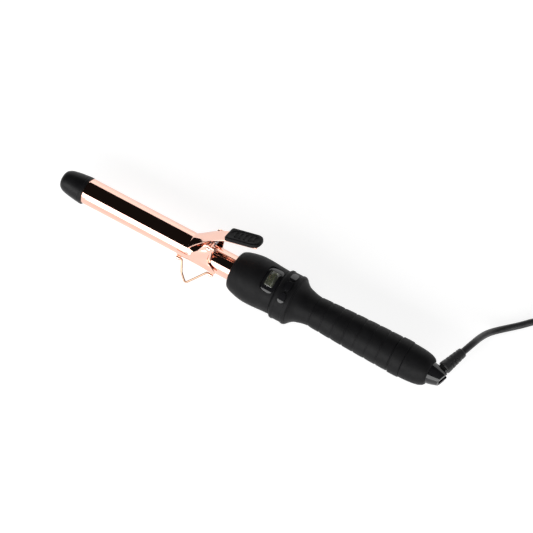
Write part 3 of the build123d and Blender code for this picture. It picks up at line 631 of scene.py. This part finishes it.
def plate(name, outline, low, high, place=UPRIGHT):
    """Upright plate from an (x, z) outline between two values of Y."""
    return prism(name, outline, low, high, place @ Matrix.Rotation(radians(90), 4, "X"))


def make_clamp():
    """Clamp with its lever strip and two ears, as one sheet."""
    jaw = slab("clamp_jaw", jaw_surface(SHEET), jaw_surface(0.0), 96, 48, ROLLED)
    strip = slab("lever", lever_surface(LEVER_SHEET), lever_surface(0.0), 60, 20, ROLLED)
    outline = rounded([(152, 0.6, 1.5), (158, -3.0, 3), (176, -5.0, 3), (181, -4.5, 0.9), (181, -2.5, 0.9),
                       (173, 3.0, 5), (169.5, 8.0, 4), (170, 14.0, 5), (174, 21.0, 2), (174, 23.4, 1.2),
                       (163.5, 23.4, 2), (158, 12.0, 5), (152, 6.0, 2)])
    inner, outer = SADDLE_R - SHEET, SADDLE_R
    ears = [plate("ear_left", outline, -outer, -inner, ROLLED),
            plate("ear_right", outline, inner, outer, ROLLED)]
    cut(jaw, strip, *ears, operation="UNION")
    hole = [(-20, 0), (-20, PIN_HOLE_R), (20, PIN_HOLE_R), (20, 0)]
    cut(jaw, lathe("pin_hole", hole, HINGE, 32))
    soften(jaw, 0.28, 50, 2)
    fit(jaw, "clamp", "rose_gold", "clamp_spoon")


def make_pad():
    """Thumb pad: square in front, round behind, with ribs in an oval recess."""
    half = PAD_WIDTH / 2
    plan = rounded([(PAD_START, -half, 3.2), (PAD_START, half, 3.2), (PAD_LENGTH, half, half),
                    (PAD_LENGTH, -half, half)], 12)
    pad = prism("thumb_pad_cover", plan, 0.0, PAD_TOP, PAD)
    soften(pad, 1.3, 40, 4)
    cut(pad, prism("pad_recess", full_oval(PAD_MIDDLE, 15.2, 6.6), PAD_RECESS, 6.0, PAD))
    for index in range(PAD_RIBS):
        pad_rib(pad, PAD_MIDDLE + (index - (PAD_RIBS - 1) / 2) * RIB_PITCH)
    soften(pad, 0.18, 50, 2)
    fit(pad, "clamp", "soft_black", "thumb_pad")


def full_oval(centre, reach, half, parts=72):
    """Oval with fuller ends than an ellipse, as (x, y)."""
    outline = []
    for part in range(parts):
        turn = 2 * pi * part / parts
        along = abs(cos(turn)) ** 0.75 * (1 if cos(turn) > 0 else -1)
        outline.append((centre + reach * along, half * sin(turn)))
    return outline


def pad_rib(pad, x):
    """One curved rib across the pad, joined into it."""
    def top(u, v):
        share = 2 * u - 1
        crest = RIB_CREST * sin(pi * v) * min(1.0, 6 * min(u, 1 - u) + 0.35)
        return x + RIB_BOW * share ** 2 + (v - 0.5) * RIB_WIDTH, share * RIB_REACH, PAD_RECESS - 0.1 + crest

    def bottom(u, v):
        point = top(u, v)
        return point[0], point[1], PAD_RECESS - 0.35
    cut(pad, slab("pad_rib", top, bottom, 20, 8, PAD), operation="UNION")


# ---- handle ----------------------------------------------------------------------------------
def around(angle):
    """Place whose Z points outward at an angle round the tool axis, from the top."""
    return Matrix.Rotation(radians(-angle), 4, "X")


def oval(length, width, centre_x, parts=16):
    """Slot outline, long across the tool."""
    radius = width / 2
    reach = length / 2 - radius
    ring = [(centre_x + radius * cos(pi * i / parts), reach + radius * sin(pi * i / parts))
            for i in range(parts + 1)]
    return ring + [(centre_x - (x - centre_x), -y) for x, y in ring]


def make_housing():
    """Front housing with its display opening."""
    outer = flowing([(HOUSING_FRONT, 15.6), (194.8, 17.0), (196.4, 19.2), (202.0, 21.6), (213.0, 23.9),
                     (224.0, 24.1), (236.0, 23.3), (SEAM_X - 0.5, 22.95)], 8)
    inner = [(SEAM_X, 22.6), (SEAM_X, SHELL_INNER_R), (222.0, SHELL_INNER_R), (214.0, 20.6), (214.0, 12.0),
             (210.0, 12.0), (210.0, 19.6), (203.0, 18.0), (198.0, 15.6), (198.0, 13.4), (195.0, 13.4),
             (HOUSING_FRONT, 13.9)]
    shell = lathe("front_shell", outer + inner, segments=180)
    opening = rounded(window_corners(WINDOW_LENGTH, WINDOW_WIDTH, WINDOW_CORNER), 10)
    cut(shell, prism("window_opening", opening, 10.0, 30.0))
    soften(shell, 0.3, 50, 2)
    fit(shell, "handle", "soft_black", "front_housing")


def window_corners(length, width, corner):
    """Corners of a rectangle over the display, for rounded()."""
    x0, x1 = WINDOW_X - length / 2, WINDOW_X + length / 2
    half = width / 2
    return [(x0, -half, corner), (x1, -half, corner), (x1, half, corner), (x0, half, corner)]


def curved_sheet(name, outline, low, high, hole=None):
    """Sheet that follows the housing round the axis, cut to an (x, y) outline from above."""
    sheet = lathe(name, [(222.0, low), (222.0, high), (250.0, high), (250.0, low)], segments=220)
    keep = prism("keep", outline, 10.0, 30.0)
    cut(sheet, keep, operation="INTERSECT")
    if hole:
        cut(sheet, prism("hole", hole, 10.0, 30.0))
    return sheet


def make_display():
    """Gloss border with a smoked window over an olive panel."""
    edge = rounded(window_corners(WINDOW_LENGTH - 0.2, WINDOW_WIDTH - 0.2, WINDOW_CORNER), 10)
    clear = rounded(window_corners(VIEW_LENGTH, VIEW_WIDTH, VIEW_CORNER), 6)
    seen = rounded(window_corners(VIEW_LENGTH - 0.1, VIEW_WIDTH - 0.1, VIEW_CORNER), 6)
    behind = rounded(window_corners(VIEW_LENGTH + 1.4, VIEW_WIDTH + 1.4, VIEW_CORNER), 6)
    border = curved_sheet("display_border", edge, 21.7, LENS_R, clear)
    soften(border, 0.12, 50, 2)
    fit(border, "handle", "gloss_black", "lcd_window")
    glass = curved_sheet("display_glass", seen, 22.2, LENS_R - 0.02)
    fit(glass, "handle", "lens")
    panel = curved_sheet("display_panel", behind, 21.05, 21.6)
    fit(panel, "handle", "lcd")


def make_collar():
    """Raised ring round the buttons."""
    outline = [(SEAM_X + 0.2, SHELL_INNER_R), (SEAM_X + 0.2, 22.9)]
    outline += flowing([(244.9, 23.7), (245.7, 24.7), (246.6, COLLAR_R), (248.3, COLLAR_R)], 4)
    outline += [(248.9, GROOVE_R), (257.8, GROOVE_R)]
    outline += flowing([(258.4, COLLAR_R), (260.2, COLLAR_R), (261.2, 24.75), (COLLAR_REAR, 24.1)], 4)
    outline += [(COLLAR_REAR, SHELL_INNER_R)]
    collar = lathe("collar_ring", outline, segments=180)
    pocket = oval(BUTTON_LENGTH + 0.5, BUTTON_WIDTH + 0.5, BUTTON_X)
    for body, angle in BUTTONS.values():
        cut(collar, prism("pocket", pocket, BUTTON_UNDER_R - 1.0, 30.0, around(angle)))
    soften(collar, 0.22, 50, 2)
    fit(collar, "handle", "soft_black", "control_collar")


def make_button(node, body, angle):
    """Oval key with rounded edges, whose outer face follows the collar."""
    outline = oval(BUTTON_LENGTH, BUTTON_WIDTH, BUTTON_X)
    key = prism(body + "_cap", outline, BUTTON_FOOT_R, 30.0, around(angle))
    crown = [(240.0, 5.0), (240.0, BUTTON_TOP_R), (266.0, BUTTON_TOP_R), (266.0, 5.0)]
    cut(key, lathe("crown", crown, segments=220), operation="INTERSECT")
    soften(key, 0.7, 45, 4)
    fit(key, body, "gloss_black", node)


def band_radius(x):
    """Mean outer radius of the grip behind its neck."""
    share = (x - BAND_START) / (GRIP_REAR - BAND_START)
    return 15.1 + 2.7 * sin(0.5 * pi * min(1.0, 1.08 * share))


def make_grip():
    """Soft sleeve: a waisted neck, then shallow rings, the last one raised."""
    front = COLLAR_REAR + 0.2
    line = flowing([(front + 0.1, 24.0), (262.9, 23.3), (264.6, 21.5), (268.5, 18.6), (274.0, 16.75),
                    (279.0, 15.6), (BAND_START - 0.6, band_radius(BAND_START) + 0.1)], 6)
    for band in range(BAND_COUNT):
        start = BAND_START + band * BAND_PITCH
        end = start + BAND_PITCH
        lift = 0.72 if band == BAND_COUNT - 1 else 0.2
        depth = 0.55 if band in (0, BAND_COUNT - 1) else 0.42
        low = band_radius(start) - depth
        line += flowing([(start, low), (start + 0.45, low + 0.05),
                         (start + 1.15, band_radius(start) + lift - 0.08),
                         (start + 3.0, band_radius(start + 3.0) + lift),
                         (start + 7.0, band_radius(start + 7.0) + lift + 0.06),
                         (end - 1.3, band_radius(end - 1.3) + lift - 0.02),
                         (end - 0.45, band_radius(end) + lift - 0.42)], 4)
    line += [(GRIP_REAR, band_radius(GRIP_REAR) - 0.2), (GRIP_REAR, CORE_R), (front, CORE_R)]
    fit(lathe("grip", line, segments=168, smooth_angle=55), "handle", "grip_rubber", "grip_sleeve")


def make_tail():
    """Round end of the handle."""
    front = GRIP_REAR + 0.15
    line = flowing([(front + 0.3, 17.72), (388.0, 17.62), (395.0, 17.08), (401.5, 15.95), (405.6, 14.3),
                    (407.2, 12.9), (TAIL_X, 12.2)], 8)
    line += [(TAIL_X - 0.2, 11.6), (SOCKET_X, SOCKET_R), (SOCKET_X, 5.56), (SOCKET_X - 4, 5.56),
             (SOCKET_X - 4, CORE_R), (front, CORE_R), (front, 17.5)]
    fit(lathe("tail_cap", line, segments=168), "handle", "soft_black", "rear_cap")


def make_swivel():
    """Cone cut obliquely and slotted for the boot."""
    seat = SOCKET_X + 0.3
    line = [(SWIVEL_FRONT, 0), (SWIVEL_FRONT, 5.5), (seat, 5.5), (seat, 10.2), (seat + 1.8, 11.0)]
    line += flowing([(TAIL_X - 0.2, 11.0), (412.0, 10.2), (417.5, 8.5), (421.6, 7.0), (SWIVEL_END, 6.0)], 5)
    line += [(SWIVEL_END, 0)]
    cone = lathe("swivel_socket", line, segments=96)
    slant = Matrix.Translation((SWIVEL_END - 1.7, 0, 0)) @ Matrix.Rotation(radians(-18.8), 4, "Z")
    cut(cone, prism("slant", [(0, -20), (20, -20), (20, 20), (0, 20)], -20, 20, slant))
    mouth = rounded([(TAIL_X + 0.1, SWIVEL_PIN[1] - 5.6, 2.5), (SWIVEL_END + 6, SWIVEL_PIN[1] - 5.6, 0),
                     (SWIVEL_END + 6, 14.0, 0), (TAIL_X + 0.1, 14.0, 0)])
    cut(cone, prism("mouth", mouth, -3.8, 3.8))
    soften(cone, 0.35, 45, 3)
    fit(cone, "swivel", "gloss_black", "swivel_cone")


# ---- boot, tie and plug ----------------------------------------------------------------------
def circle(x, radius):
    """Outline of a small hole centred on the X axis."""
    return [(x + radius * cos(pi * i / 12), radius * sin(pi * i / 12)) for i in range(24)]


def make_boot():
    """Strain relief: smooth shoulder, then a taper with open ribs on both sides."""
    line = [(BOOT_START, 0), (BOOT_START, 5.9), (BOOT_START + 0.6, BOOT_START_R), (14.6, BOOT_START_R)]
    line += flowing([(15.4, 6.3), (22.0, 5.85), (29.0, 5.35), (BOOT_LENGTH - 0.6, BOOT_END_R)], 5)
    line += [(BOOT_LENGTH, BOOT_END_R - 0.5), (BOOT_LENGTH, 0)]
    boot = lathe("strain_boot", line, BOOT, 72)
    eye = rounded([(-4.4, -4.3, 4.3), (BOOT_START + 0.8, -3.8, 0),
                   (BOOT_START + 0.8, 3.8, 0), (-4.4, 4.3, 4.3)], 8)
    cut(boot, prism("eye", eye, -3.5, 3.5, BOOT), operation="UNION")
    for rib in range(BOOT_RIBS):
        x = BOOT_RIB_X + BOOT_RIB_PITCH * rib
        for side in (-1, 1):
            opening = rounded([(x - 0.8, side * 1.8, 0.6), (x + 0.8, side * 1.8, 0.6),
                               (x + 0.8, side * 9.3, 0), (x - 0.8, side * 9.3, 0)])
            notch = prism("notch", opening, -10, 10, BOOT)
            core = [(x - 3, 0), (x - 3, BOOT_CORE_R), (x + 3, BOOT_CORE_R), (x + 3, 0)]
            cut(notch, lathe("core", core, BOOT, 48))
            cut(boot, notch)
    cut(boot, prism("pin_hole", circle(0, BOOT_EYE_R), -10, 10, BOOT))
    soften(boot, 0.22, 50, 2)
    return fit(boot, "lead", "cord_black", "strain_relief")


def tie_outline(margin, foot, corner):
    """Section of the coil with the last turn lying on top at the outside, eased at its corners."""
    half = 3 * CORD_R / MM + margin
    low = 4 * CORD_R / MM + margin
    high = low + 2 * CORD_R / MM
    return rounded([(-half, foot, corner), (half, foot, corner), (half, high, corner),
                    (half - 6.1, high, corner), (-half, low, corner)], 6)


def make_tie():
    """Hook-and-loop strap round the coil."""
    middle = COIL_OUTER / MM - 2 * CORD_R / MM
    place = COIL @ Matrix.Translation((middle, 0, 0)) @ Matrix.Rotation(radians(90), 4, "X")
    strap = prism("tie_strap", tie_outline(0.95, 0.05, 2.4), -2.8, 2.8, place)
    cut(strap, prism("inside", tie_outline(0.1, 0.75, 2.2), -4, 4, place))
    soften(strap, 0.2, 50, 2)
    return fit(strap, "lead", "tie_black", "coil_tie")


def make_plug():
    """Flat moulded plug with grip ridges on its sides, and its blades."""
    sleeve = [(0, 0), (0, 4.2), (0.4, 4.6), (4.0, 4.9), (4.3, 4.5), (5.1, 4.5), (5.4, 5.0), (8.0, 5.3),
              (8.3, 4.8), (9.1, 4.8), (9.4, 5.4), (12.6, 5.8), (12.6, 0)]
    face = 12.0 + PLUG_LENGTH
    half = PLUG_WIDTH / 2
    plan = rounded([(12.0, -half, 7), (face, -half, 1.2), (face, half, 1.2), (12.0, half, 7)], 8)
    body = prism("plug_shell", plan, -PLUG_HEIGHT / 2, PLUG_HEIGHT / 2, PLUG)
    soften(body, 2.4, 50, 5)
    cut(body, lathe("sleeve", sleeve, PLUG, 64), operation="UNION")
    for index in range(4):
        x = 19.0 + RIDGE_PITCH * index
        for side in (-1, 1):
            near, far = side * (half - 0.9), side * (half + 3)
            groove = [(x, near), (x + RIDGE_WIDTH, near), (x + RIDGE_WIDTH, far), (x, far)]
            cut(body, prism("groove", groove, -5.0, 5.0, PLUG))
    soften(body, 0.3, 50, 2)
    fit(body, "lead", "plug_black", "plug_body")
    return body, make_blades(face)


def make_blades(face):
    """Two flat blades with rounded ends and a hole each, set in the plug's face."""
    tip = rounded([(face - 3.0, -BLADE_HALF_WIDTH, 0), (face + BLADE_LENGTH, -BLADE_HALF_WIDTH, 1.6),
                   (face + BLADE_LENGTH, BLADE_HALF_WIDTH, 1.6), (face - 3.0, BLADE_HALF_WIDTH, 0)])
    pair = []
    for side in (-1, 1):
        offset = Matrix.Translation((0, side * BLADE_SPACING / 2, 0))
        upright = PLUG @ offset @ Matrix.Rotation(radians(90), 4, "X")
        blade = prism("blade", tip, -BLADE_HALF_THICK, BLADE_HALF_THICK, upright)
        cut(blade, prism("hole", circle(face + BLADE_HOLE_X, BLADE_HOLE_R), -2, 2, upright))
        pair.append(blade)
    blades, second = pair
    cut(blades, second, operation="UNION")
    soften(blades, 0.2, 50, 2)
    blades.name = "plug_pins"
    return fit(blades, "lead", "brass", "plug_blades")


# ---- camera, floor and light ---------------------------------------------------------------
def make_camera():
    """The photo's view."""
    a, e = radians(VIEW_AZIMUTH), radians(VIEW_ELEVATION)
    back = Vector((sin(a) * cos(e), -cos(a) * cos(e), sin(e)))
    data = bpy.data.cameras.new("camera")
    data.lens = VIEW_LENS
    data.clip_start = 0.05
    data.clip_end = 50.0
    camera = bpy.data.objects.new("camera", data)
    camera.location = ORIGIN + (VIEW_TARGET + back * VIEW_DISTANCE) * MM
    camera.rotation_mode = "QUATERNION"
    camera.rotation_quaternion = (-back).to_track_quat("-Z", "Y")
    bpy.context.scene.collection.objects.link(camera)
    bpy.context.scene.camera = camera


def make_floor():
    """Plain pale table, bright enough to read as white."""
    bpy.ops.mesh.primitive_plane_add(size=12.0, location=(0.0, 0.0, CAD_BOX[0].z))
    floor = bpy.context.object
    floor.name = "floor"
    finish = Finish("pale_table", Roughness=0.9, Specular_IOR_Level=0.1, Emission_Strength=0.78)
    finish.shader.inputs["Emission Color"].default_value = (1.0, 1.0, 1.0, 1.0)
    finish.tint(finish.noise(2.0), (0.44, 0.44, 0.44), (0.46, 0.46, 0.46))
    floor.data.materials.append(finish.material)


def softbox(name, place, aim, size, power, mirrored=True):
    """Rectangular light, metres and watts, with or without its reflection."""
    data = bpy.data.lights.new(name, "AREA")
    data.shape = "RECTANGLE"
    data.size, data.size_y = size
    data.energy = power
    light = bpy.data.objects.new(name, data)
    light.location = place
    light.rotation_mode = "QUATERNION"
    light.rotation_quaternion = (Vector(aim) - Vector(place)).to_track_quat("-Z", "Y")
    light.visible_glossy = mirrored
    bpy.context.scene.collection.objects.link(light)


def make_light():
    """Bright walls in front and behind, a soft overhead fill and a nearly dark world."""
    softbox("front_wall", (0.0, -1.5, 0.62), (0.0, 0.0, 0.62), (5.0, 1.2), 75)
    softbox("back_wall", (0.0, 1.7, 0.55), (0.0, 0.0, 0.55), (5.0, 1.1), 22)
    softbox("overhead", (0.2, -0.3, 2.6), (0.0, 0.0, 0.0), (2.4, 2.4), 16, mirrored=False)
    world = bpy.data.worlds.new("studio")
    world.use_nodes = True
    world.node_tree.nodes["Background"].inputs["Color"].default_value = (1.0, 0.93, 0.9, 1.0)
    world.node_tree.nodes["Background"].inputs["Strength"].default_value = 0.008
    bpy.context.scene.world = world
    bpy.context.scene.view_settings.view_transform = "Standard"


def dress_cad():
    """Give every CAD node its record slot's material, and the stand's wire a darker plating."""
    for row in frame["record"]["subparts"]:
        if row["node"] in frame["nodes"]:
            mesh = frame["nodes"][row["node"]].data
            mesh.materials.clear()
            mesh.materials.append(MATERIALS[row["material_slot"]])
    plating = brushed("wire_plating", (0.40, 0.25, 0.17), (0.50, 0.33, 0.23), (0.1, 0.2), (8.0, 0.3, 0.3))
    frame["nodes"]["stand_wire"].data.materials[0] = plating


make_camera()
dress_cad()
make_barrel()
make_clamp()
make_pad()
make_housing()
make_display()
make_collar()
for node, (body, angle) in BUTTONS.items():
    make_button(node, body, angle)
make_grip()
make_tail()
make_swivel()
lead = make_lead()
ORIGIN + Vector(CORD_ROUTE[0])
make_boot()
make_tie()
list(make_plug())
make_floor()
make_light()
